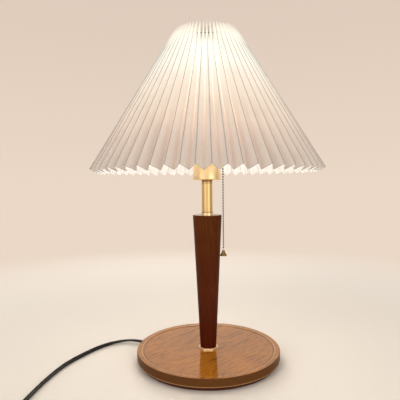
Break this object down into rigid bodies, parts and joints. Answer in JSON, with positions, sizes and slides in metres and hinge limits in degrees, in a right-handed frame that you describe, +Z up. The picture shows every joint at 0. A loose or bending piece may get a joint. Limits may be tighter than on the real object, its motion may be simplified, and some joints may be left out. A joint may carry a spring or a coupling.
{
  "type": "pleated table lamp",
  "caption": "Table lamp with a pleated conical shade, brass holder with pull chain, tapered wooden post on a round wooden tray base, and a corded plug.",
  "frame": {"origin": "on the table under the lamp's axis, the bottom centre of the felt pad", "axes": "+Z up along the post; -Y is the lamp's front, with the pull chain at its right (+X) and the cord at its left"},
  "size_m": [0.4058, 0.4525, 0.5031],
  "materials": {
    "base_walnut": "lacquered walnut with open cathedral grain",
    "post_walnut": "dark walnut, gloss lacquer",
    "felt": "dense black felt",
    "satin_brass": "satin brass",
    "zinc_steel": "zinc plated",
    "black_bakelite": "moulded, satin",
    "steatite": "white insulator, semi-gloss",
    "shell_brass": "rolled thread, bright",
    "bulb_cap_metal": "rolled thread, satin",
    "opal_glass": "opal, glowing warm white",
    "bead_brass": "aged brass, polished",
    "pleated_fabric": "off-white fabric on a stiff backing, pleated",
    "thread": "brown waxed thread",
    "white_wire": "white powder coat",
    "cord_pvc": "black, soft satin",
    "lead_pvc": "black insulation",
    "tie_plastic": "black band",
    "plug_plastic": "moulded, satin",
    "pin_nickel": "nickel plated"
  },
  "bodies": {
    "lamp": {"base_disc": "base_walnut", "base_felt_pad": "felt", "rod_washer": "zinc_steel", "rod_nut": "zinc_steel", "threaded_rod": "zinc_steel", "post_foot_ring": "satin_brass", "tapered_post": "post_walnut", "neck_collar": "satin_brass", "neck_tube": "satin_brass", "holder_cup": "satin_brass", "cup_lock_nut": "zinc_steel", "switch_box": "black_bakelite", "holder_seat": "steatite", "holder_sleeve": "black_bakelite", "screw_shell": "shell_brass", "centre_contact": "shell_brass", "chain_guide": "satin_brass", "guide_nut": "zinc_steel", "pleated_shade": "pleated_fabric", "lacing_thread": "thread", "shade_top_ring": "white_wire", "shade_arms": "white_wire", "shade_fitter_ring": "white_wire", "shade_ring_nut": "black_bakelite", "cord_gland": "cord_pvc", "inner_leads": "lead_pvc", "cord_run": "cord_pvc", "cord_coil": "cord_pvc", "coil_tie": "tie_plastic", "cord_tail": "cord_pvc", "plug_body": "plug_plastic", "plug_pins": "pin_nickel"},
    "chain_head": {"chain_head": "bead_brass"},
    "chain_link": {"chain_link": "bead_brass"},
    "pull_chain": {"pull_chain": "bead_brass", "pull_bell": "bead_brass"},
    "bulb_contact": {"bulb_contact": "bulb_cap_metal"},
    "bulb": {"bulb_cap": "bulb_cap_metal", "bulb_globe": "opal_glass"}
  },
  "joints": [
    {"name": "chain_pull", "type": "slide", "parent": "lamp", "child": "chain_head", "axis": [0, 0, -1], "range_m": [0, 0.008], "stiffness_N_per_m": 600, "springref_m": -0.004},
    {"name": "chain_swing_out", "type": "hinge", "parent": "chain_head", "child": "chain_link", "pos_m": [0.02433, -0.01405, 0.2985], "axis": [-0.5, -0.866, 0], "range_deg": [-1, 40]},
    {"name": "chain_swing_side", "type": "hinge", "parent": "chain_link", "child": "pull_chain", "pos_m": [0.02433, -0.01405, 0.29455], "axis": [0.866, -0.5, 0], "range_deg": [-40, 40]},
    {"name": "bulb_lift", "type": "slide", "parent": "lamp", "child": "bulb_contact", "axis": [0, 0, 1], "range_m": [0, 0.0218]},
    {"name": "bulb_turn", "type": "hinge", "parent": "bulb_contact", "child": "bulb", "pos_m": [0, 0, 0.33], "axis": [0, 0, 1], "range_deg": [0, 2160]}
  ],
  "couplings": [
    {"joint": "bulb_lift", "follows": "bulb_turn", "m_per_rad": 0.00057757}
  ]
}
